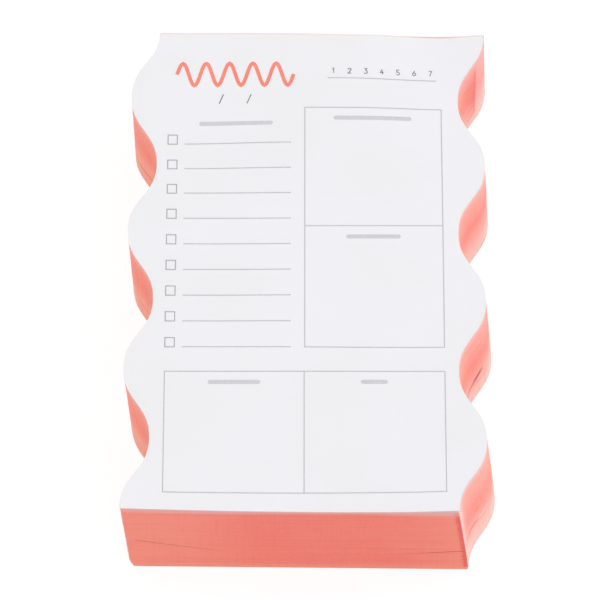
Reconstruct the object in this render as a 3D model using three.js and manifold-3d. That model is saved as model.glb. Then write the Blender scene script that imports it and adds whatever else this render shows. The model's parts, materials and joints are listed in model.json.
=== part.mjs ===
// A thick tear-off to-do pad: sheets glued along the far edge, backed by a board,
// with both long sides cut in waves and every cut edge painted.
// Millimetres. +X is right, +Y runs to the glued edge, +Z is up from the table.

import * as THREE from 'three';
import { mergeVertices } from 'three/addons/utils/BufferGeometryUtils.js';
import Module from 'manifold-3d';

const wasm = await Module();
wasm.setup();

// The stack
const padWidth = 101.6; // right crest to left crest on the top sheet
const sheetLength = 152.4;
const sheetStackHeight = 33.5;
const topSheetThickness = 0.1;
const boardThickness = 1.5;
const glueThickness = 0.4;

// The waves of the two long sides
const waveDepth = 7.7; // valley to crest
const wavePitch = 43.9;
const crestPastBinding = 1.2; // the first right crest would lie this far past the glued edge
const crestFullness = 0.057; // how much fuller than a plain sine the crests are
const stepsPerWave = 24;

// How the thick stack moved under the cutter
const leanAtBinding = 0.55; // the lowest sheet's shift to the right at the glued edge
const leanAtNearEdge = 2.8; // and at the near edge
const flarePerSide = 0.9; // how much wider the lowest sheet is on each side
const flarePerEnd = 1.4; // and how much longer at each end

// The printed layout, which sits a little askew on the sheet
const inkThickness = 0.1;
const lineWidth = 0.3;
const printTurn = 0.55; // degrees
const printShift = 0.57; // to the left
const frameToValley = 3.8; // side of the frames to the deepest valley
const nearMargin = 5.55; // near edge to the lower frame
const topMargin = 24.05; // glued edge to the upper frame
const lowerFrameHeight = 37.75;
const frameGap = 7.45;

// The task list on the left
const rulePitch = 8.24;
const ruleToFrameSide = 4.95; // left end of a rule to the line of the frames' left side
const ruleToMiddle = 3.8; // right end of a rule to the middle line
const boxWidth = 2.95;
const boxHeight = 3.25;
const boxDrop = 0.2; // a box's bottom below its rule
const titleToRules = 5; // the least room between the task title and the first rule

// The bars that stand where each field has its title
const titleHeight = 1.3;
const taskTitleDrop = 29.15; // glued edge to the task title
const titleDrop = 3.5; // a frame's line to the title below it
const taskTitleWidth = 21.2;
const upperNoteTitleWidth = 22.4;
const lowerNoteTitleWidth = 15.5;
const leftPanelTitleWidth = 14.7;
const rightPanelTitleWidth = 7.6;

// The header flourish and the date line under it
const flourishDrop = 13.2; // glued edge to its centre line
const flourishHeight = 8.4;
const flourishStroke = 1.1;
const flourishInset = 2.5; // from the line of the frames' left side
const flourishToMiddle = 3.1;
const flourishWaves = 5;
const slashDrop = 21.3; // glued edge to the middle of the slashes
const slashHeight = 2.95;
const slashSlope = 1.2;
const slashStroke = 0.32;
const firstSlashInset = 15.35; // from the line of the frames' left side
const slashPitch = 8;

// The weekday numerals on the right
const numeralDrop = 12.2; // glued edge to the numerals' middle
const numeralHeight = 1.9;
const numeralStroke = 0.27;
const numeralEndGap = 1.7; // end of the underline to the first numeral's centre
const underlineDrop = 14.6;
const underlineInset = 6.7; // middle line to the underline
const underlineToSide = 1.2; // underline to the line of the frames' right side

// Places worked out from the sizes above
const padHeight = boardThickness + sheetStackHeight;
const bindingY = sheetLength / 2;
const nearY = -sheetLength / 2;
const meanHalfWidth = (padWidth - waveDepth) / 2;
const frameHalfWidth = padWidth / 2 - waveDepth - frameToValley;
const upperFrameTop = bindingY - topMargin;
const lowerFrameBottom = nearY + nearMargin;
const lowerFrameTop = lowerFrameBottom + lowerFrameHeight;
const upperFrameBottom = lowerFrameTop + frameGap;
const upperFrameBar = (upperFrameTop + upperFrameBottom) / 2;

const paper = material(0xefeff2, 0.85);
const paintedEdge = material(0xed8577, 0.75);
const board = material(0xb8aa96, 0.9);
const glue = material(0xe9897c, 0.6);
const coralInk = material(0xf68c7a, 0.8);
const greyInk = material(0xcccbd0, 0.85);
const titleInk = material(0xc9c8cc, 0.85);
const darkInk = material(0x939297, 0.85);

function material(color, roughness) {
  return new THREE.MeshStandardMaterial({ color, roughness, metalness: 0 });
}

// Sideways place of both cut sides at a point along the pad
function edgeWave(y) {
  const swing = waveDepth / 2 / (1 - crestFullness);
  const turn = (2 * Math.PI * (y - bindingY - crestPastBinding)) / wavePitch;
  return swing * (Math.cos(turn) - crestFullness * Math.cos(3 * turn));
}

// Shift of a sheet under the cutter, which grows with its depth in the stack
function leanAt(y, depth) {
  const towardsNear = (bindingY - y) / sheetLength;
  return depth * THREE.MathUtils.lerp(leanAtBinding, leanAtNearEdge, towardsNear);
}

// One layer of the pad: a box whose corners are moved to the cut outline
function layerGeometry(zLow, zHigh, yLow, yHigh) {
  const steps = Math.ceil(((yHigh - yLow) / wavePitch) * stepsPerWave);
  const geometry = new THREE.BoxGeometry(2, 1, 2, 1, steps, 1);
  const corners = geometry.attributes.position;
  for (let i = 0; i < corners.count; i++) {
    const side = Math.sign(corners.getX(i));
    const y = THREE.MathUtils.lerp(yLow, yHigh, corners.getY(i) + 0.5);
    const z = corners.getZ(i) > 0 ? zHigh : zLow;
    const depth = (padHeight - z) / padHeight;
    const halfWidth = meanHalfWidth + flarePerSide * depth;
    const stretch = 1 + (flarePerEnd / (sheetLength / 2)) * depth;
    corners.setXYZ(i, side * halfWidth + edgeWave(y) + leanAt(y, depth), y * stretch, z);
  }
  return geometry;
}

function named(name, geometry, finish) {
  const mesh = new THREE.Mesh(geometry, finish);
  mesh.name = name;
  return mesh;
}

// The board, the sheets as one solid, the top sheet and the glue film
function stack() {
  const group = new THREE.Group();
  const blockTop = padHeight - topSheetThickness;
  group.add(named('backing_board', layerGeometry(0, boardThickness, nearY, bindingY), board));
  group.add(named('page_block', layerGeometry(boardThickness, blockTop, nearY, bindingY), paintedEdge));
  group.add(named('top_sheet', layerGeometry(blockTop, padHeight, nearY, bindingY), paper));
  group.add(named('binding_glue', layerGeometry(0, padHeight, bindingY, bindingY + glueThickness), glue));
  return group;
}

// A flat mark of ink lying on the top sheet
function inkGeometry(shape) {
  const options = { depth: inkThickness, bevelEnabled: false, curveSegments: 6 };
  return new THREE.ExtrudeGeometry(shape, options);
}

function rectanglePoints(left, right, bottom, top) {
  return [
    new THREE.Vector2(left, bottom),
    new THREE.Vector2(right, bottom),
    new THREE.Vector2(right, top),
    new THREE.Vector2(left, top),
  ];
}

// A rectangle of ink with the given openings cut out of it
function outlinedBox(left, right, bottom, top, openings) {
  let solid = toSolid(inkGeometry(new THREE.Shape(rectanglePoints(left, right, bottom, top))));
  for (const [inLeft, inRight, inBottom, inTop] of openings) {
    const cutter = inkGeometry(new THREE.Shape(rectanglePoints(inLeft, inRight, inBottom, inTop)));
    cutter.scale(1, 1, 3).translate(0, 0, -inkThickness);
    solid = solid.subtract(toSolid(cutter));
  }
  return fromSolid(solid);
}

// A straight line of ink, centred on a height
function bar(left, right, middle, thickness) {
  const half = thickness / 2;
  return inkGeometry(new THREE.Shape(rectanglePoints(left, right, middle - half, middle + half)));
}

// A bar with round ends
function pill(centreX, centreY, length, height) {
  const radius = height / 2;
  const reach = length / 2 - radius;
  const shape = new THREE.Shape();
  shape.absarc(centreX + reach, centreY, radius, -Math.PI / 2, Math.PI / 2);
  shape.absarc(centreX - reach, centreY, radius, Math.PI / 2, (3 * Math.PI) / 2);
  return inkGeometry(shape);
}

// The outline of a pen stroke of even width along a row of points, mitred at its corners
function strokeShape(points, width) {
  const left = [];
  const right = [];
  points.forEach((point, i) => {
    const back = points[Math.max(i - 1, 0)];
    const ahead = points[Math.min(i + 1, points.length - 1)];
    const into = point.clone().sub(back);
    const away = ahead.clone().sub(point);
    const before = (i === 0 ? away : into).clone().normalize();
    const after = (i === points.length - 1 ? into : away).clone().normalize();
    const along = before.clone().add(after).normalize();
    const reach = width / 2 / along.dot(before);
    const across = new THREE.Vector2(-along.y, along.x).multiplyScalar(reach);
    left.push(point.clone().add(across));
    right.unshift(point.clone().sub(across));
  });
  return new THREE.Shape([...left, ...right]);
}

function toSolid(geometry) {
  const bare = geometry.clone();
  bare.deleteAttribute('normal');
  bare.deleteAttribute('uv');
  const merged = mergeVertices(bare, 1e-5);
  const vertProperties = new Float32Array(merged.attributes.position.array);
  const triVerts = new Uint32Array(merged.index.array);
  return new wasm.Manifold(new wasm.Mesh({ numProp: 3, vertProperties, triVerts }));
}

function fromSolid(solid) {
  const mesh = solid.getMesh();
  const geometry = new THREE.BufferGeometry();
  geometry.setAttribute('position', new THREE.BufferAttribute(mesh.vertProperties, 3));
  geometry.setIndex(new THREE.BufferAttribute(mesh.triVerts, 1));
  return geometry;
}

// Strokes that cross or meet, joined into one mark
function joinedStrokes(strokes, width) {
  const solids = strokes.map((points) => toSolid(inkGeometry(strokeShape(points, width))));
  return fromSolid(solids.reduce((sum, solid) => sum.add(solid)));
}

// The upper frame with its two note fields, and the lower frame with two panels side by side
function frames() {
  const group = new THREE.Group();
  const line = lineWidth;
  const half = line / 2;
  const side = frameHalfWidth;
  const notes = [
    [line, side - line, upperFrameBottom + line, upperFrameBar - half],
    [line, side - line, upperFrameBar + half, upperFrameTop - line],
  ];
  const panels = [
    [line - side, -half, lowerFrameBottom + line, lowerFrameTop - line],
    [half, side - line, lowerFrameBottom + line, lowerFrameTop - line],
  ];
  group.add(named('notes_frame', outlinedBox(0, side, upperFrameBottom, upperFrameTop, notes), greyInk));
  group.add(named('panel_frame', outlinedBox(-side, side, lowerFrameBottom, lowerFrameTop, panels), greyInk));
  return group;
}

// Ruled lines, each with a tick box at its left end, as many as the column has room for
function taskList() {
  const group = new THREE.Group();
  const highest = bindingY - taskTitleDrop - titleToRules;
  const lowest = upperFrameBottom + lineWidth / 2;
  const count = Math.floor((highest - lowest) / rulePitch) + 1;
  const left = -frameHalfWidth;
  for (let i = 0; i < count; i++) {
    const y = lowest + (count - 1 - i) * rulePitch;
    const bottom = y - boxDrop;
    const opening = [
      left + lineWidth,
      left + boxWidth - lineWidth,
      bottom + lineWidth,
      bottom + boxHeight - lineWidth,
    ];
    const box = outlinedBox(left, left + boxWidth, bottom, bottom + boxHeight, [opening]);
    const rule = bar(left + ruleToFrameSide, -ruleToMiddle, y, lineWidth);
    group.add(named(`task_rule_${i + 1}`, rule, greyInk));
    group.add(named(`task_box_${i + 1}`, box, greyInk));
  }
  return group;
}

// Plain bars where each field has its title, centred over the field
function titles() {
  const group = new THREE.Group();
  const column = frameHalfWidth / 2;
  const lowerRow = lowerFrameTop - titleDrop;
  const rows = [
    ['task_title', -column, bindingY - taskTitleDrop, taskTitleWidth],
    ['upper_note_title', column, upperFrameTop - titleDrop, upperNoteTitleWidth],
    ['lower_note_title', column, upperFrameBar - titleDrop, lowerNoteTitleWidth],
    ['left_panel_title', -column, lowerRow, leftPanelTitleWidth],
    ['right_panel_title', column, lowerRow, rightPanelTitleWidth],
  ];
  for (const [name, x, y, width] of rows) {
    group.add(named(name, pill(x, y, width, titleHeight), titleInk));
  }
  return group;
}

// A plain wavy line as the header's ornament
function flourish() {
  const start = -frameHalfWidth + flourishInset;
  const length = -flourishToMiddle - start;
  const swing = (flourishHeight - flourishStroke) / 2;
  const samples = flourishWaves * 16;
  const points = [];
  for (let i = 0; i <= samples; i++) {
    const share = i / samples;
    const rise = swing * Math.sin(2 * Math.PI * flourishWaves * share);
    points.push(new THREE.Vector2(start + length * share, bindingY - flourishDrop + rise));
  }
  return named('header_flourish', inkGeometry(strokeShape(points, flourishStroke)), coralInk);
}

// The two slanted strokes of the date line
function dateSlashes() {
  const group = new THREE.Group();
  for (let i = 0; i < 2; i++) {
    const x = -frameHalfWidth + firstSlashInset + i * slashPitch;
    const middle = bindingY - slashDrop;
    const ends = [
      new THREE.Vector2(x - slashSlope / 2, middle - slashHeight / 2),
      new THREE.Vector2(x + slashSlope / 2, middle + slashHeight / 2),
    ];
    group.add(named(`date_slash_${i + 1}`, inkGeometry(strokeShape(ends, slashStroke)), darkInk));
  }
  return group;
}

// Centre lines of the numerals 1 to 7, in a cell that is one high and about two thirds wide
function numeralStrokes() {
  const line = (...places) => places.map(([x, y]) => new THREE.Vector2(x, y));
  const arc = (x, y, radius, from, to, steps) => {
    const curve = new THREE.EllipseCurve(x, y, radius, radius, from * Math.PI, to * Math.PI, to < from);
    return curve.getPoints(steps);
  };
  return [
    [line([-0.17, 0.3], [0.04, 0.5], [0.04, -0.5])],
    [[...arc(0, 0.24, 0.26, 1, -0.2, 8), ...line([-0.27, -0.5], [0.28, -0.5])]],
    [[...line([-0.24, 0.5], [0.23, 0.5]), ...arc(-0.03, -0.19, 0.31, 0.5, -0.8, 9)]],
    [line([0.06, 0.5], [-0.28, -0.2], [0.3, -0.2]), line([0.13, 0.16], [0.13, -0.5])],
    [[...line([0.23, 0.5], [-0.18, 0.5]), ...arc(-0.02, -0.2, 0.3, 0.72, -0.78, 9)]],
    [arc(0, -0.22, 0.28, 0.9, 2.82, 14), line([0.12, 0.5], [-0.26, -0.15])],
    [line([-0.25, 0.5], [0.26, 0.5], [-0.08, -0.5])],
  ];
}

// One numeral for each weekday, in an even row over one underline
function weekdayRow() {
  const group = new THREE.Group();
  const numerals = numeralStrokes();
  const right = frameHalfWidth - underlineToSide;
  const pitch = (right - underlineInset - 2 * numeralEndGap) / (numerals.length - 1);
  const body = numeralHeight - numeralStroke;
  const middle = bindingY - numeralDrop;
  numerals.forEach((strokes, i) => {
    const x = underlineInset + numeralEndGap + i * pitch;
    const place = (point) => new THREE.Vector2(x + point.x * body, middle + point.y * body);
    const placed = strokes.map((points) => points.map(place));
    group.add(named(`weekday_${i + 1}`, joinedStrokes(placed, numeralStroke), darkInk));
  });
  const underline = bar(underlineInset, right, bindingY - underlineDrop, lineWidth);
  group.add(named('weekday_underline', underline, greyInk));
  return group;
}

function print() {
  const group = new THREE.Group();
  group.add(frames(), taskList(), titles(), flourish(), dateSlashes(), weekdayRow());
  group.rotation.z = THREE.MathUtils.degToRad(printTurn);
  group.position.set(-printShift, 0, padHeight);
  return group;
}

// The finished pad, standing on the table with its box centred on the origin
function pad() {
  const group = new THREE.Group();
  group.add(stack(), print());
  const middle = new THREE.Box3().setFromObject(group, true).getCenter(new THREE.Vector3());
  group.position.set(-middle.x, -middle.y, 0);
  return group;
}

export default pad();
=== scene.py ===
import json
import math

import bmesh
import bpy
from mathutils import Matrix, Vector, noise


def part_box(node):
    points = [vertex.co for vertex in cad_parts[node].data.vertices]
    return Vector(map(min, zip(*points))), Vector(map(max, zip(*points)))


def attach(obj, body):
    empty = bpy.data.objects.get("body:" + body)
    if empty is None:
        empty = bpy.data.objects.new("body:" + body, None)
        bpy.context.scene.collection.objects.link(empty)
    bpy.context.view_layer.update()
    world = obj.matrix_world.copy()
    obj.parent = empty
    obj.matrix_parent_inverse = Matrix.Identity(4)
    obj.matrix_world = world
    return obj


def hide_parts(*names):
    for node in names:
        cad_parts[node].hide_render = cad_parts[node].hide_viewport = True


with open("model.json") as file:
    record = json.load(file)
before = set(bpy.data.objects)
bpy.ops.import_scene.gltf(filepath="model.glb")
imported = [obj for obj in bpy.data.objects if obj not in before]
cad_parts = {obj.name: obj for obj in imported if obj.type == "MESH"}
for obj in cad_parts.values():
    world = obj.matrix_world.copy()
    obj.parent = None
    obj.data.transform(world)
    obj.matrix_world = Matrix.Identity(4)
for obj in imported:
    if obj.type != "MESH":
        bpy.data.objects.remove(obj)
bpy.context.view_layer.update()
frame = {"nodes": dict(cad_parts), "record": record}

mm = 0.001
nodes = frame["nodes"]
sheetLow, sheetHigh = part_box("top_sheet")
boardLow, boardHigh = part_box("backing_board")
sheetMiddle = (sheetLow + sheetHigh) / 2
pageTop = sheetHigh.z
nearY = sheetLow.y
bindingY = sheetHigh.y
print("frame loaded,", len(nodes), "nodes")

# Camera, floor, world and lamps

cameraLook = {
    "elevation": 62.24,  # degrees above the table
    "turn": 0.61,  # degrees, seen from above
    "aimRight": -1.66 * mm,  # aim point, from the middle of the page
    "aimForward": -10.58 * mm,
    "distance": 1383.15 * mm,
    "lens": 294.08,
    "sensor": 36,
}


def makeCamera(look):
    camera = bpy.data.cameras.new("photoCamera")
    camera.lens = look["lens"]
    camera.sensor_width = look["sensor"]
    camera.clip_start = 0.05
    camera.clip_end = 50
    holder = bpy.data.objects.new("photoCamera", camera)
    bpy.context.scene.collection.objects.link(holder)
    elevation = math.radians(look["elevation"])
    turn = math.radians(look["turn"])
    level = math.cos(elevation)
    forward = Vector((-math.sin(turn) * level, math.cos(turn) * level, -math.sin(elevation)))
    aim = Vector((sheetMiddle.x + look["aimRight"], sheetMiddle.y + look["aimForward"], pageTop))
    holder.location = aim - forward * look["distance"]
    holder.rotation_euler = (math.pi / 2 - elevation, 0, turn)
    bpy.context.scene.camera = holder


lampLooks = {  # azimuth, height and softness in degrees
    "rightLamp": {"azimuth": 24, "height": 18, "strength": 1.45, "softness": 50},
    "leftLamp": {"azimuth": 160, "height": 18, "strength": 1.0, "softness": 50},
    "frontLamp": {"azimuth": 268, "height": 30, "strength": 1.1, "softness": 70},
    "topLamp": {"azimuth": 90, "height": 80, "strength": 0.54, "softness": 60},
}


def makeLamps(looks):
    for name, look in looks.items():
        sun = bpy.data.lights.new(name, "SUN")
        sun.energy = look["strength"]
        sun.angle = math.radians(look["softness"])
        holder = bpy.data.objects.new(name, sun)
        bpy.context.scene.collection.objects.link(holder)
        azimuth, height = math.radians(look["azimuth"]), math.radians(look["height"])
        level = math.cos(height)
        towards = Vector((math.cos(azimuth) * level, math.sin(azimuth) * level, math.sin(height)))
        holder.rotation_euler = towards.to_track_quat("Z", "Y").to_euler()


class Shade:
    # One socket of a material's nodes. Sums, products and the like add their own Math nodes.
    def __init__(self, tree, socket=None):
        self.tree = tree
        self.socket = socket

    def node(self, kind, settings=None, inputs=None, output=0):
        made = self.tree.nodes.new(kind)
        for name, value in (settings or {}).items():
            setattr(made, name, value)
        for name, value in (inputs or {}).items():
            self.feed(made.inputs[name], value)
        return Shade(self.tree, made.outputs[output])

    def feed(self, socket, value):
        if isinstance(value, Shade):
            self.tree.links.new(value.socket, socket)
        else:
            socket.default_value = value

    def maths(self, operation, first, second):
        return self.node("ShaderNodeMath", {"operation": operation}, {0: first, 1: second})

    def __add__(self, other):
        return self.maths("ADD", self, other)

    def __radd__(self, other):
        return self.maths("ADD", other, self)

    def __sub__(self, other):
        return self.maths("SUBTRACT", self, other)

    def __rsub__(self, other):
        return self.maths("SUBTRACT", other, self)

    def __mul__(self, other):
        return self.maths("MULTIPLY", self, other)

    def __rmul__(self, other):
        return self.maths("MULTIPLY", other, self)

    def between(self, low, high):
        # 0 at low, 1 at high, smooth in between
        settings = {"interpolation_type": "SMOOTHSTEP"}
        return self.node("ShaderNodeMapRange", settings, {"Value": self, "From Min": low, "From Max": high})

    def mixed(self, share, first, second):
        # From the first colour to the second
        return self.node("ShaderNodeMix", {"data_type": "RGBA"}, {0: share, 6: first, 7: second}, output=2)


def linear(red, green, blue):
    # A screen colour, 0 to 255 each, as the linear colour that a shader takes
    shares = [level / 255 for level in (red, green, blue)]
    return (*[s / 12.92 if s <= 0.04045 else ((s + 0.055) / 1.055) ** 2.4 for s in shares], 1)


def backgroundRays(shade):
    # 1 where the eye, a mirror or glass sees the background, and 0 for its light
    rays = ("Is Camera Ray", "Is Glossy Ray", "Is Transmission Ray")
    seen = [shade.node("ShaderNodeLightPath", output=ray) for ray in rays]
    return shade.maths("MINIMUM", seen[0] + seen[1] + seen[2], 1)


floorLook = {
    "size": 60,
    "tone": 0.86,
    "whiteShare": 0.78,  # how much of the floor's look is plain white rather than lit
    "white": 1.1,
}


def makeStage(look):
    bpy.ops.mesh.primitive_plane_add(size=look["size"], location=(0, 0, 0))
    floor = bpy.context.object
    floor.name = "floor"
    material = bpy.data.materials.new("paleFloor")
    material.use_nodes = True
    tree = material.node_tree
    tree.nodes.clear()
    shade = Shade(tree)
    tone = look["tone"]
    matte = shade.node("ShaderNodeBsdfDiffuse", {}, {"Color": (tone, tone, tone, 1)})
    white = shade.node("ShaderNodeEmission", {}, {"Color": (1, 1, 1, 1), "Strength": look["white"]})
    share = backgroundRays(shade) * look["whiteShare"]
    surface = shade.node("ShaderNodeMixShader", {}, {0: share, 1: matte, 2: white})
    output = tree.nodes.new("ShaderNodeOutputMaterial")
    tree.links.new(surface.socket, output.inputs["Surface"])
    floor.data.materials.append(material)


def makeWorld(lightLevel=0.4):
    world = bpy.data.worlds.new("paleRoom")
    world.use_nodes = True
    bpy.context.scene.world = world
    tree = world.node_tree
    tree.nodes.clear()
    shade = Shade(tree)
    strength = backgroundRays(shade) * (1 - lightLevel) + lightLevel
    sky = shade.node("ShaderNodeBackground", {}, {"Color": (1, 1, 1, 1), "Strength": strength})
    output = tree.nodes.new("ShaderNodeOutputWorld")
    tree.links.new(sky.socket, output.inputs["Surface"])


makeCamera(cameraLook)
makeLamps(lampLooks)
makeStage(floorLook)
makeWorld()
bpy.context.scene.view_settings.view_transform = "Standard"
print("camera, lamps and stage made")

# Finishes


class Finish:
    # A material with one Principled shader, and short names for what its pattern is made of
    def __init__(self, name, roughness, **fixed):
        self.material = bpy.data.materials.new(name)
        self.material.use_nodes = True
        self.shader = self.material.node_tree.nodes["Principled BSDF"]
        self.shader.inputs["Roughness"].default_value = roughness
        for socket, value in fixed.items():
            self.shader.inputs[socket.replace("_", " ")].default_value = value
        self.shade = Shade(self.material.node_tree)
        self.place = self.shade.node("ShaderNodeTexCoord", output="Object")

    def noise(self, scale, detail=3, stretch=(1, 1, 1), roughness=0.5):
        stretched = self.shade.node("ShaderNodeMapping", {}, {"Vector": self.place, "Scale": stretch})
        inputs = {"Vector": stretched, "Scale": scale, "Detail": detail, "Roughness": roughness}
        return self.shade.node("ShaderNodeTexNoise", {}, inputs)

    def along(self, axis):
        return self.shade.node("ShaderNodeSeparateXYZ", {}, {"Vector": self.place}, output=axis)

    def attribute(self, name):
        return self.shade.node("ShaderNodeAttribute", {"attribute_name": name}, output="Fac")

    def set(self, socket, value):
        self.shade.feed(self.shader.inputs[socket], value)

    def bump(self, height, distance, strength=1.0):
        inputs = {"Height": height, "Distance": distance, "Strength": strength}
        self.set("Normal", self.shade.node("ShaderNodeBump", {}, inputs))


# One coral paint in three copies with light and shade painted in: the right side's lighter as if lit, the
# front's and left's darker as if in shade
frontLitPaintLook = {
    "paint": linear(244, 121, 106),
    "thin": linear(246, 129, 114),
    "thick": linear(233, 98, 84),
    "bare": linear(232, 188, 186),  # the top sheets took less paint; this colour also paints highlights on corners and ledges
    # painted shade in the splits between sheets
    "splitAndShade": linear(140, 44, 40),
    "ends": linear(249, 144, 126),  # paler towards the corners, on the front only
    "endShare": 0.8,
    "foot": linear(252, 152, 128),  # painted light, so the lowest sheets are a little lighter
    "footLightShare": 0.7,
    "footLightReach": (1 * mm, 5 * mm),
    "strokeShare": 0.12,
}
rightLitPaintLook = {
    "paint": linear(251, 132, 118),
    "thin": linear(252, 147, 132),
    "thick": linear(244, 108, 96),
    "bare": linear(243, 212, 209),
    # painted shade in the splits between sheets
    "splitAndShade": linear(204, 40, 46),
    # painted light, lighter towards the foot
    "foot": linear(252, 219, 208),
    "footLightShare": 0.74,
    "footLightReach": (1 * mm, 20 * mm),
    "headShare": 0.28,  # the foot's colour near the top, on the long sides only
    "strokeShare": 0.1,
}
leftLitPaintLook = {
    "paint": linear(245, 122, 101),
    "thin": linear(248, 137, 117),
    "thick": linear(228, 92, 74),
    "bare": linear(230, 192, 188),
    # painted shade in the splits between sheets
    "splitAndShade": linear(120, 36, 32),
    # painted light, lighter towards the foot
    "foot": linear(254, 184, 160),
    "footLightShare": 0.6,
    "footLightReach": (7 * mm, 22 * mm),
    "headShare": 0.2,
    "strokeShare": 0.26,
}
sheetMarks = {  # how the paint shows the sheets' edges, in marks per metre
    "sheetsAcross": 4200,
    "groupsAcross": 900,
    "alongEdge": 16,
    "knifeAcross": 26,
    "knifeAlong": 1500,
    "patches": 45,
    "grain": 1700,
}
paintSpread = {  # where each layer of paint starts and is full, as levels of its pattern
    "thin": (0.4, 0.6),
    "thickSheets": (0.3, 0.48),
    "thickSheetShare": 0.3,
    "thickStrokes": (0.3, 0.5),
    "stain": (0.2, 0.9),
    "stainRagged": (0.3, 0.7),
    "stainLeast": 0.4,
    "stainMore": 1.2,
    "rimRagged": 0.6,
    "endsMiddle": 5 * mm,
    "ends": (12 * mm, 40 * mm),  # from that middle
    "endsWander": 20 * mm,
    "head": (17 * mm, 32 * mm),
}
paintRelief = {"roughness": 0.66, "roughnessSpread": 0.22, "depth": 0.06 * mm, "strength": 0.7}


def makePaint(name, look, marks=sheetMarks, spread=paintSpread, relief=paintRelief):
    finish = Finish(name, 0.75, Sheen_Weight=0.2, Sheen_Roughness=0.5, Specular_IOR_Level=0.25)
    shade = finish.shade
    along = marks["alongEdge"]
    knife = marks["knifeAlong"]
    sheets = finish.noise(1, 2, stretch=(along, along, marks["sheetsAcross"]))
    groups = finish.noise(1, 3, stretch=(along, along, marks["groupsAcross"]), roughness=0.6)
    strokes = finish.noise(1, 2, stretch=(knife, knife, marks["knifeAcross"]))
    patches = finish.noise(marks["patches"], 3)
    grain = finish.noise(marks["grain"], 2)
    wear = patches * 0.25 + groups * 0.25 + grain * 0.5
    colour = shade.mixed(wear.between(*spread["thin"]), look["paint"], look["thin"])
    if "endShare" in look:
        away = shade.maths("ABSOLUTE", finish.along(0) - spread["endsMiddle"], 0)
        away = away + (patches - 0.5) * spread["endsWander"]
        colour = shade.mixed(away.between(*spread["ends"]) * look["endShare"], colour, look["ends"])
    if "headShare" in look:
        head = finish.along(2).between(*spread["head"])
        colour = shade.mixed(head * look["headShare"], colour, look["foot"])
    # Painted light: lighter towards the foot
    low, high = look["footLightReach"]
    foot = 1 - (finish.along(2) + (patches - 0.5) * low).between(low, high)
    colour = shade.mixed(foot * look["footLightShare"], colour, look["foot"])
    thickSheets = (1 - sheets.between(*spread["thickSheets"])) * spread["thickSheetShare"]
    colour = shade.mixed(thickSheets, colour, look["thick"])
    thickStrokes = (1 - strokes.between(*spread["thickStrokes"])) * look["strokeShare"]
    colour = shade.mixed(thickStrokes, colour, look["thick"])
    ragged = sheets * 0.5 + groups * 0.5
    stainShare = spread["stainLeast"] + ragged.between(*spread["stainRagged"]) * spread["stainMore"]
    stain = finish.attribute("deep") * stainShare
    colour = shade.mixed(stain.between(*spread["stain"]), colour, look["thick"])
    # Bare paper, and painted highlights on the corners and ledges
    bare = finish.attribute("bare") + (ragged - 0.5) * spread["rimRagged"] * finish.attribute("rim")
    colour = shade.mixed(bare.between(0, 1), colour, look["bare"])
    # Painted shade in the splits between sheets
    finish.set("Base Color", shade.mixed(finish.attribute("splitAndShade"), colour, look["splitAndShade"]))
    finish.set("Roughness", relief["roughness"] + groups * relief["roughnessSpread"])
    finish.bump(sheets * 0.45 + groups * 0.35 + strokes * 0.2, relief["depth"], relief["strength"])
    return finish.material


paperLook = {
    "sheet": linear(242, 241, 245),
    "shaded": linear(240, 239.5, 242),
    "clouds": 38,  # marks per metre, as in the finishes below
    "fibres": 2300,
}


def makePaper(look):
    finish = Finish("whitePaper", 0.8, Specular_IOR_Level=0.3)
    shade = finish.shade
    clouds = finish.noise(look["clouds"], 3)
    fibres = finish.noise(look["fibres"], 3)
    colour = shade.mixed(clouds.between(0.35, 0.65), look["sheet"], look["shaded"])
    finish.set("Base Color", shade.mixed(fibres.between(0.5, 0.8) * 0.5, colour, look["shaded"]))
    finish.set("Roughness", 0.74 + fibres * 0.12)
    finish.bump(fibres, 0.008 * mm, 0.5)
    return finish.material


boardLook = {
    "board": linear(176, 166, 150),
    "dark": linear(128, 116, 100),
    "light": linear(204, 196, 182),
    "pulp": 260,
    "flecks": 900,
}


def makeChipboard(look):
    finish = Finish("greyChipboard", 0.88)
    shade = finish.shade
    pulp = finish.noise(look["pulp"], 5, roughness=0.65)
    flecks = finish.noise(look["flecks"], 2, stretch=(1, 2.4, 1))
    colour = shade.mixed(pulp.between(0.35, 0.7), look["board"], look["light"])
    finish.set("Base Color", shade.mixed(flecks.between(0.62, 0.7) * 0.7, colour, look["dark"]))
    finish.set("Roughness", 0.82 + pulp * 0.12)
    finish.bump(pulp * 0.7 + flecks * 0.3, 0.05 * mm, 0.6)
    return finish.material


glueLook = {
    "glue": linear(243, 150, 136),
    "thick": linear(232, 118, 104),
    "rim": linear(236, 222, 219),  # little glue reached the top sheets
    "rimHeight": 1.0 * mm,
    "rimRagged": 0.4 * mm,
    "strokes": (28, 28, 420),
    "pools": 70,
}


def makeGlue(look):
    finish = Finish("coralPaddingGlue", 0.45)
    shade = finish.shade
    strokes = finish.noise(1, 4, stretch=look["strokes"], roughness=0.6)
    pools = finish.noise(look["pools"], 2)
    share = (strokes * 0.6 + pools * 0.4).between(0.35, 0.7) * 0.5
    colour = shade.mixed(share, look["glue"], look["thick"])
    raggedHeight = finish.along(2) + strokes * look["rimRagged"]
    rim = raggedHeight.between(pageTop - look["rimHeight"], pageTop)
    finish.set("Base Color", shade.mixed(rim, colour, look["rim"]))
    finish.set("Roughness", 0.36 + strokes * 0.3)
    finish.bump(strokes * 0.7 + pools * 0.3, 0.12 * mm, 0.7)
    return finish.material


inkGrain = 1500
inkLooks = {
    "header": {"full": linear(249, 137, 118), "thin": linear(251, 150, 132)},
    "line": {"full": linear(192, 191, 196), "thin": linear(201, 200, 205)},
    "box": {"full": linear(170, 169, 174), "thin": linear(182, 181, 186)},
    "title": {"full": linear(208, 207, 212), "thin": linear(215, 214, 219)},
    "dark": {"full": linear(122, 121, 126), "thin": linear(140, 139, 144)},
}


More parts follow.
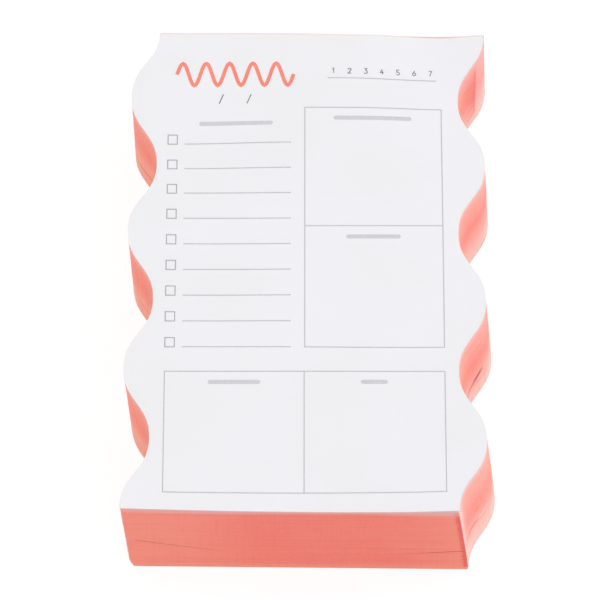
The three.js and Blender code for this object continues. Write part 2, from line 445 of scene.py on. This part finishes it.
def makeInk(name, look):
    finish = Finish(name + "Ink", 0.75, Specular_IOR_Level=0.3)
    cover = finish.noise(inkGrain, 3)
    finish.set("Base Color", finish.shade.mixed(cover.between(0.45, 0.7), look["full"], look["thin"]))
    finish.set("Roughness", 0.7 + cover * 0.15)
    return finish.material


# A copy of the paint for each side, with that side's light and shade painted in
litEdgePaints = [
    makePaint("coralFrontLitPaint", frontLitPaintLook),
    makePaint("coralRightLitPaint", rightLitPaintLook),
    makePaint("coralLeftLitPaint", leftLitPaintLook),
]
paper = makePaper(paperLook)
chipboard = makeChipboard(boardLook)
glueFilm = makeGlue(glueLook)
inks = {name: makeInk(name, look) for name, look in inkLooks.items()}
slotOf = {part["node"]: part["material_slot"] for part in frame["record"]["subparts"]}
print("finishes made")

# How the paper lies: every piece on the page follows these

pageShape = {
    "nearSag": 0.9 * mm,  # how far the middle of the near edge sinks
    "nearLift": 1.55 * mm,  # how far the near corners rise over that middle
    "nearTilt": 0.2 * mm,  # the right one more, the left one less
    "nearReach": 42 * mm,  # from the near edge
    "fanLift": 0.42 * mm,  # how far the top sheets part at the near right corner
    "fanInset": 7 * mm,
    "fanReach": 16 * mm,
}
pageSwells = [  # in mm: the middle, reach across and along, and height of each rise and dip of the page
    {"middle": (-8, 76), "reach": (44, 62), "height": 0.5},
    {"middle": (8, 62), "reach": (18, 14), "height": 0.5},
    {"middle": (40, 60), "reach": (26, 50), "height": -1.3},
    {"middle": (50, 76), "reach": (16, 16), "height": 1.2},
    {"middle": (-38, 40), "reach": (34, 22), "height": -1.1},
    {"middle": (-30, 0), "reach": (40, 60), "height": -0.5},
    {"middle": (25, -24), "reach": (45, 14), "height": -0.6},
]
looseSheetCount = 5
looseSheetThickness = 0.1 * mm
cornerRadius = 0.55 * mm


def ease(share):
    share = min(max(share, 0), 1)
    return share * share * (3 - 2 * share)


def nearBow(x, y, shape=pageShape):
    across = (x - sheetMiddle.x) / ((sheetHigh.x - sheetLow.x) / 2)
    bow = shape["nearLift"] * across * across + shape["nearTilt"] * across - shape["nearSag"]
    return bow * ease(1 - (y - nearY) / shape["nearReach"])


def swell(x, y, swells=pageSwells):
    height = 0
    for one in swells:
        across = ease(1 - abs(x / mm - one["middle"][0]) / one["reach"][0])
        along = ease(1 - abs(y / mm - one["middle"][1]) / one["reach"][1])
        height += one["height"] * mm * across * along
    return height


def fanLift(x, y, shape=pageShape):
    away = math.hypot(x - sheetHigh.x + shape["fanInset"], y - nearY)
    return shape["fanLift"] * ease(1 - away / shape["fanReach"])


# Helpers for the pieces


def startFrom(node):
    # A copy of a CAD node, its loose triangles merged into one skin and paired into quads
    mesh = bmesh.new()
    mesh.from_mesh(nodes[node].data)
    bmesh.ops.remove_doubles(mesh, verts=mesh.verts, dist=0.002 * mm)
    bmesh.ops.join_triangles(
        mesh, faces=mesh.faces,
        angle_face_threshold=math.radians(4), angle_shape_threshold=math.radians(179))
    return mesh


def roundCorners(mesh, radius=cornerRadius):
    # Rounds the upright edges where a long side meets an end
    upright = [
        edge for edge in mesh.edges
        if abs((edge.verts[0].co - edge.verts[1].co).normalized().z) > 0.9
        and edge.calc_face_angle(0) > math.radians(50)]
    bmesh.ops.bevel(
        mesh, geom=upright, offset=radius, offset_type="OFFSET", segments=3, profile=0.5, affect="EDGES",
        material=-1)


def cutAcross(mesh, axis, places):
    # A loop of new edges at each place along the axis
    normal = Vector((0, 0, 0))
    normal[axis] = 1
    for place in places:
        everything = [*mesh.verts, *mesh.edges, *mesh.faces]
        bmesh.ops.bisect_plane(mesh, geom=everything, dist=1e-7, plane_co=normal * place, plane_no=normal)


def evenly(low, high, count):
    # Places that part a stretch into count equal shares, without its ends
    return [low + (high - low) * i / count for i in range(1, count)]


def isFlat(face):
    return abs(face.normal.z) > 0.7


def sideOf(outward):
    if abs(outward.x) > 0.6:
        return "right" if outward.x > 0 else "left"
    return "front" if outward.y < 0 else "back"


def paintSides(mesh):
    # An edge paint on each side, each with its own painted light and shade, and the material after them on
    # the flat faces
    paintNumber = {"front": 0, "back": 0, "right": 1, "left": 2}
    mesh.normal_update()
    for face in mesh.faces:
        face.material_index = len(litEdgePaints) if isFlat(face) else paintNumber[sideOf(face.normal)]


def addMarks(mesh, bare=0, rim=0):
    # What the paint reads: splits with painted shade in them, thick paint, bare paper with painted
    # highlights, and how ragged the bare rim is
    marks = {name: mesh.verts.layers.float.new(name) for name in ("splitAndShade", "deep", "bare", "rim")}
    for vert in mesh.verts:
        vert[marks["bare"]] = bare
        vert[marks["rim"]] = rim
    return marks


footShape = {"reach": 8 * mm, "height": 5 * mm, "leftInset": 0.95 * mm, "rightInset": 0.2 * mm}
nearFootXs = [v.co.x for v in nodes["backing_board"].data.vertices if v.co.y < boardLow.y + 0.1 * mm]


def tuckFootCorners(co, shape=footShape):
    # The near corners of the board and the lowest sheets are worn round
    height = max(0, 1 - co.z / shape["height"]) ** 2
    back = ease(1 - (co.y - boardLow.y) / shape["reach"])
    insets = ((min(nearFootXs), shape["leftInset"]), (max(nearFootXs), -shape["rightInset"]))
    for corner, inset in insets:
        co.x += inset * height * back * ease(1 - abs(co.x - corner) / shape["reach"])


def finishPiece(mesh, name, materials, replaced=None, sharpAngle=35):
    data = bpy.data.meshes.new(name)
    mesh.to_mesh(data)
    mesh.free()
    for polygon in data.polygons:
        polygon.use_smooth = True
    data.set_sharp_from_angle(angle=math.radians(sharpAngle))
    for material in materials:
        data.materials.append(material)
    piece = bpy.data.objects.new(name, data)
    bpy.context.scene.collection.objects.link(piece)
    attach(piece, "root")
    if replaced:
        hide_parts(replaced)
    return piece


# The sheets under the top one, as one block

blockLow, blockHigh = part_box("page_block")
blockLook = {
    "rows": 60,
    "columns": 44,
    "bowRoot": 9 * mm,  # below this height the sheets lie flatter
    "bowDeep": 1.6,  # how much stronger the bow is deep in the stack than on the page
    "swellDepth": 14 * mm,  # how deep in the stack the page's rises and dips die out
    "groupStep": 0.09 * mm,  # how far groups of sheets stand in or out
    "groupScale": (9, 9, 700),  # groups per metre to the right, along and up
    "fineScale": (30, 30, 1900),
    "fineShare": 0.6,
    "splitDepth": 0.16 * mm,
}
rimLook = {  # the band at the top with little paint
    "sideHeight": 4.5 * mm,
    "frontHeight": 5.5 * mm,
    "frontMiddle": 0.38,  # share of that height in the middle, and what the ends add to it
    "frontRight": 0.62,
    "frontLeft": 0.25,
    "rightStart": 8 * mm,
    "rightReach": 36 * mm,
    "leftReach": 40 * mm,
    "bareShare": 0.55,
    "ragged": 1.6,  # how deep its ragged foot reaches, in heights of the band
}
cornerLook = {
    "stain": 2.2 * mm,  # width of the thick paint at the near right corner
    "stainDepth": 1.5,
    "bareReach": 6 * mm,  # painted highlight on the right side round it
    "bareShare": 0.8,
    "shine": 0.4,  # painted highlight on the rounded near left corner
}
splitLines = [  # in mm: where sheets have parted, as place along the face and height, at both ends
    {"side": "front", "start": (-50, 16), "end": (-19, 10.2), "fade": (2, 16), "open": 0.26, "depth": 0.55},
    {"side": "front", "start": (20, 9.3), "end": (47, 10.8), "fade": (26, 0.1), "open": 0.28, "depth": 1.1},
    {"side": "right", "start": (-77, 11), "end": (-66, 9.6), "fade": (2, 2), "open": 0.62, "depth": 0.75},
    {"side": "right", "start": (-69, 15), "end": (-64.5, 16.1), "fade": (2, 2), "open": 0.45, "depth": 0.5},
    {"side": "right", "start": (-29, 6.9), "end": (-19, 11), "fade": (9, 1.5), "open": 1.3, "depth": 1.3},
    {"side": "right", "start": (-29, 6.9), "end": (-19, 11), "fade": (2, 1.5), "open": 0.4, "depth": 0.9},
    {"side": "right", "start": (-25, 8.1), "end": (-16, 5.2), "fade": (3, 3), "open": 0.5, "depth": 0.5},
    {"side": "right", "start": (63, 3.6), "end": (69, 5.5), "fade": (1, 1), "open": 0.5, "depth": 0.6},
    {"side": "left", "start": (41.5, 7.6), "end": (52, 5.8), "fade": (1, 2), "open": 0.6, "depth": 0.85},
    {"side": "left", "start": (-3, 8), "end": (5, 7), "fade": (2, 4), "open": 0.5, "depth": 0.4},
]
ledgeHighlightLines = [  # the same for painted highlight lines, where a sheet stands out and catches the light
    {"side": "right", "start": (-68, 9.8), "end": (-59, 10.2), "fade": (2, 3), "open": 0.7, "depth": 0.8},
]
knifeLine = {  # an upright mark of the die where two of its blades met
    "place": 68.3 * mm,
    "halfWidth": 0.5 * mm,
    "depth": 0.25 * mm,
    "stain": 12 * mm,
    "stainShare": 0.62,
    "paleShare": 0.3,  # bare paper between the mark and the glued edge
    "foot": 4 * mm,
    "footFade": 2 * mm,
    "head": 32 * mm,
    "headFade": 5 * mm,
}


def outwardAt(vert):
    # The level direction in which a side faces at a point, or nothing on a flat face
    outward = Vector((0, 0, 0))
    for face in vert.link_faces:
        if not isFlat(face):
            outward += face.normal
    outward.z = 0
    return outward.normalized() if outward.length else None


def cutAlong(mesh, faces, point, normal):
    # New edges where the plane crosses these faces
    around = {part for face in faces for part in (*face.verts, *face.edges)}
    bmesh.ops.bisect_plane(mesh, geom=[*around, *faces], dist=1e-7, plane_co=point, plane_no=normal)


def cutLines(mesh, mark, lines, reach=2 * mm):
    # Three cuts along each line. The mark is strongest on the middle one and ends at the others.
    for line in lines:
        axis = 0 if line["side"] == "front" else 1
        (firstPlace, firstHeight), (lastPlace, lastHeight) = line["start"], line["end"]
        fadeIn, fadeOut = line["fade"]
        start = Vector((0, 0, firstHeight * mm))
        start[axis] = firstPlace * mm
        normal = Vector((0, 0, 1))
        normal[axis] = -(lastHeight - firstHeight) / (lastPlace - firstPlace)
        normal.normalize()
        for offset in (-line["open"], line["open"], 0):
            faces = [
                face for face in mesh.faces
                if not isFlat(face) and sideOf(face.normal) == line["side"]
                and firstPlace < face.calc_center_median()[axis] / mm < lastPlace
                and abs((face.calc_center_median() - start).dot(normal)) < reach]
            cutAlong(mesh, faces, start + normal * offset * mm, normal)
        mesh.normal_update()
        for vert in mesh.verts:
            place = vert.co[axis] / mm
            away = abs((vert.co - start).dot(normal)) / mm / line["open"]
            if away < 1 and firstPlace < place < lastPlace:
                outward = outwardAt(vert)
                if outward and sideOf(outward) == line["side"]:
                    share = ease((place - firstPlace) / fadeIn) * ease((lastPlace - place) / fadeOut)
                    wander = 0.9 + 0.3 * noise.noise(Vector((place * 0.3, firstHeight, 0)))
                    vert[mark] = max(vert[mark], line["depth"] * share * wander * (1 - away))


def bowShare(height, look=blockLook):
    # The board lies flat, the sheets over it bow most, and the page bows as pageShape says
    if height < look["bowRoot"]:
        return look["bowDeep"] * ease(height / look["bowRoot"])
    over = (height - look["bowRoot"]) / (pageTop - look["bowRoot"])
    return look["bowDeep"] + (1 - look["bowDeep"]) * over


def rightCorner(level):
    # The x of the block's near right corner at its top or its foot
    corners = [v.co for v in nodes["page_block"].data.vertices if abs(v.co.z - level) < 0.01 * mm]
    nearest = min(co.y for co in corners)
    return max(co.x for co in corners if co.y < nearest + 0.01 * mm)


topCorner = rightCorner(blockHigh.z)
cornerSlope = (rightCorner(blockLow.z) - topCorner) / (blockHigh.z - blockLow.z)


def cutPageBlock(look):
    # The block with enough edges for its bow, its corners and its lines
    mesh = startFrom("page_block")
    roundCorners(mesh)
    cutAcross(mesh, 0, evenly(blockLow.x, blockHigh.x, look["columns"]))
    cutAcross(mesh, 1, [knifeLine["place"] + knifeLine["halfWidth"] * i for i in (-1, 0, 1)])
    cutAcross(mesh, 1, [nearY + cornerLook["bareReach"] * i / 4 for i in range(1, 5)])
    cutAcross(mesh, 2, evenly(blockLow.z, blockHigh.z, look["rows"]))
    front = [face for face in mesh.faces if face.normal.y < -0.9]
    stainEdge = Vector((topCorner - cornerLook["stain"], 0, blockHigh.z))
    cutAlong(mesh, front, stainEdge, Vector((1, 0, cornerSlope)))
    paintSides(mesh)
    return mesh


def noiseAt(co, scale, start=0):
    return noise.noise(Vector((co.x * scale[0] + start, co.y * scale[1], co.z * scale[2])))


def rimHeight(side, x, look=rimLook):
    if side != "front":
        return look["sideHeight"]
    right = look["frontRight"] * ease((x - look["rightStart"]) / look["rightReach"])
    left = look["frontLeft"] * ease(-x / look["leftReach"])
    return look["frontHeight"] * (look["frontMiddle"] + right + left)


def knifeTall(height, look=knifeLine):
    # 1 along the die's mark, easing to 0 at its foot and its head
    overFoot = (height - look["foot"]) / look["footFade"]
    underHead = (look["head"] - height) / look["headFade"]
    return ease(overFoot) * ease(underHead)


def markSide(vert, outward, marks, look):
    # Sets what the paint reads at a point on the block's side. Gives how far the point moves out.
    x, y, z = vert.co
    depth = blockHigh.z - z
    side = sideOf(outward)
    groups = noiseAt(vert.co, look["groupScale"])
    fine = noiseAt(vert.co, look["fineScale"], 5)
    push = look["groupStep"] * (groups + look["fineShare"] * fine)
    push -= look["splitDepth"] * vert[marks["splitAndShade"]]
    rim = rimHeight(side, x)
    bare = rimLook["bareShare"] * (1 - ease(depth / rim))
    fromNear = y - nearY + (nearY - blockLow.y) * depth / (blockHigh.z - blockLow.z)
    if side == "front":
        cornerGap = topCorner + cornerSlope * depth - x
        vert[marks["deep"]] = max(0, cornerLook["stainDepth"] * (1 - cornerGap / cornerLook["stain"]))
    if side == "right":
        # Painted highlight beside the near corner
        bare = max(bare, cornerLook["bareShare"] * (1 - fromNear / cornerLook["bareReach"]))
        beforeKnife = knifeLine["place"] - y
        onKnife = abs(beforeKnife) < 1e-6
        if onKnife:
            vert[marks["deep"]] = knifeTall(z)
            push -= knifeLine["depth"] * knifeTall(z)
        elif 0 < beforeKnife < knifeLine["stain"]:
            fading = knifeLine["stainShare"] * (1 - beforeKnife / knifeLine["stain"])
            vert[marks["deep"]] = fading * knifeTall(z)
        elif beforeKnife < 0:
            bare = max(bare, knifeLine["paleShare"])
    # Painted highlight on the rounded near left corner
    if outward.x < -0.2 and outward.y < -0.2 and fromNear < 2 * cornerRadius:
        bare = max(bare, cornerLook["shine"])
    vert[marks["bare"]] = max(bare, vert[marks["bare"]])
    vert[marks["rim"]] = 1 - ease(depth / (rim * rimLook["ragged"]))
    return push


def makePageBlock(look):
    mesh = cutPageBlock(look)
    marks = addMarks(mesh)
    looseDepth = looseSheetCount * looseSheetThickness
    # Grooves where sheets parted, with painted shade in them
    cutLines(mesh, marks["splitAndShade"], splitLines)
    # Painted highlight lines along the ledges
    cutLines(mesh, marks["bare"], ledgeHighlightLines)
    moves = []
    for vert in mesh.verts:
        x, y, z = vert.co
        pageShare = ease(1 - (blockHigh.z - z) / look["swellDepth"])
        lift = nearBow(x, y) * bowShare(z) + (swell(x, y) - looseDepth) * pageShare
        outward = outwardAt(vert)
        push = outward * markSide(vert, outward, marks, look) if outward else Vector((0, 0, 0))
        moves.append((vert, push + Vector((0, 0, lift))))
    for vert, move in moves:
        vert.co += move
        tuckFootCorners(vert.co)
    return finishPiece(mesh, "pageBlock", [*litEdgePaints, paper], "page_block")


# The top sheet, and those just under it, which fan out at the near right corner

sheetColumns = 44


def cutSheet(bare, drop, fanShare, shift=(0, 0)):
    # One sheet, this far below the top one, bent to the page's shape
    mesh = startFrom("top_sheet")
    roundCorners(mesh)
    cutAcross(mesh, 0, evenly(sheetLow.x, sheetHigh.x, sheetColumns))
    paintSides(mesh)
    addMarks(mesh, bare, 1)
    for vert in mesh.verts:
        x, y, z = vert.co
        bend = nearBow(x, y) + swell(x, y) + fanLift(x, y) * fanShare
        vert.co = Vector((x + shift[0], y + shift[1], z - drop + bend))
    return mesh


def makeTopSheet():
    mesh = cutSheet(1, 0, 1)
    return finishPiece(mesh, "topSheet", [*litEdgePaints, paper], "top_sheet")


def makeLooseSheets(straying=0.14 * mm):
    together = bmesh.new()
    oneSheet = bpy.data.meshes.new("oneSheet")
    for i in range(1, looseSheetCount + 1):
        right, near = (straying * noise.noise(Vector((i * 3.7, 1.3, start))) for start in (2.1, 7.9))
        shift = (right, -abs(near))
        mesh = cutSheet(0.9 - 0.08 * i, i * looseSheetThickness, 1 - i / (looseSheetCount + 1), shift)
        mesh.to_mesh(oneSheet)
        mesh.free()
        together.from_mesh(oneSheet)
    bpy.data.meshes.remove(oneSheet)
    return finishPiece(together, "looseSheets", [*litEdgePaints, paper])


# The backing board

boardShape = {
    "edgeRound": 0.25 * mm,
    "columns": 24,
    "sideBare": 0.45,  # how little paint the board took
    "nearBare": 0.2,
    "nearReach": 2 * mm,
}


def makeBoard(shape):
    mesh = startFrom("backing_board")
    roundCorners(mesh)
    rim = [
        edge for edge in mesh.edges
        if all(vert.co.z < boardLow.z + 0.1 * mm for vert in edge.verts)
        and edge.calc_face_angle(0) > math.radians(50)]
    bmesh.ops.bevel(
        mesh, geom=rim, offset=shape["edgeRound"], segments=2, profile=0.5, affect="EDGES", material=-1)
    cutAcross(mesh, 0, evenly(boardLow.x, boardHigh.x, shape["columns"]))
    paintSides(mesh)
    marks = addMarks(mesh)
    for vert in mesh.verts:
        atSide = vert.co.y > boardLow.y + shape["nearReach"]
        vert[marks["bare"]] = shape["sideBare"] if atSide else shape["nearBare"]
        tuckFootCorners(vert.co)
    return finishPiece(mesh, "backingBoard", [*litEdgePaints, chipboard], "backing_board")


# The glue on the far edge

glueShape = {
    "columns": 50,
    "rows": 24,
    "unevenness": 0.14 * mm,
    "lumps": (40, 260),  # per metre, to the right and up
    "ripples": (150, 500),
    "rippleShare": 0.5,
}


def makeGlueFilm(shape):
    mesh = startFrom("binding_glue")
    low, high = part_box("binding_glue")
    cutAcross(mesh, 0, evenly(low.x, high.x, shape["columns"]))
    cutAcross(mesh, 2, evenly(low.z, high.z, shape["rows"]))
    mesh.normal_update()
    for vert in mesh.verts:
        x, y, z = vert.co
        if vert.normal.y > 0.3:
            lump = noise.noise(Vector((x * shape["lumps"][0], z * shape["lumps"][1], 4)))
            ripple = noise.noise(Vector((x * shape["ripples"][0], z * shape["ripples"][1], 9)))
            vert.co.y += shape["unevenness"] * (lump + shape["rippleShare"] * ripple)
        vert.co.z += swell(x, bindingY) * ease(1 - (high.z - z) / blockLook["swellDepth"])
    return finishPiece(mesh, "bindingGlue", [glueFilm], "binding_glue")


# The print

inkShape = {
    "above": 0.02 * mm,  # how far the ink stands out of the page, and reaches into it
    "below": 0.03 * mm,
    "step": 3 * mm,
    "frameStart": 4 * mm,  # right of here the frames are a little wider than in the CAD
    "frameStretch": 0.0083,
}


def inkOf(node):
    if slotOf[node] == "coral_ink":
        return inks["header"]
    if slotOf[node] == "dark_grey_ink":
        return inks["dark"]
    if "box" in node:
        return inks["box"]
    return inks["title"] if node.endswith("title") else inks["line"]


def makePrint(node, shape):
    mesh = startFrom(node)
    low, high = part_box(node)
    for axis in (0, 1):
        count = max(1, round((high[axis] - low[axis]) / shape["step"]))
        cutAcross(mesh, axis, evenly(low[axis], high[axis], count))
    for vert in mesh.verts:
        x, y, z = vert.co
        proud = shape["above"] if z > (low.z + high.z) / 2 else -shape["below"]
        vert.co.z = pageTop + nearBow(x, y) + swell(x, y) + fanLift(x, y) + proud
        if node.endswith("frame"):
            vert.co.x += shape["frameStretch"] * max(0, x - shape["frameStart"])
    return finishPiece(mesh, node + "_print", [inkOf(node)], node)


makePageBlock(blockLook)
makeTopSheet()
makeLooseSheets()
makeBoard(boardShape)
makeGlueFilm(glueShape)
print("stack made")
stackNodes = {"page_block", "top_sheet", "backing_board", "binding_glue"}
for node in sorted(set(nodes) - stackNodes):
    makePrint(node, inkShape)
print("print made")
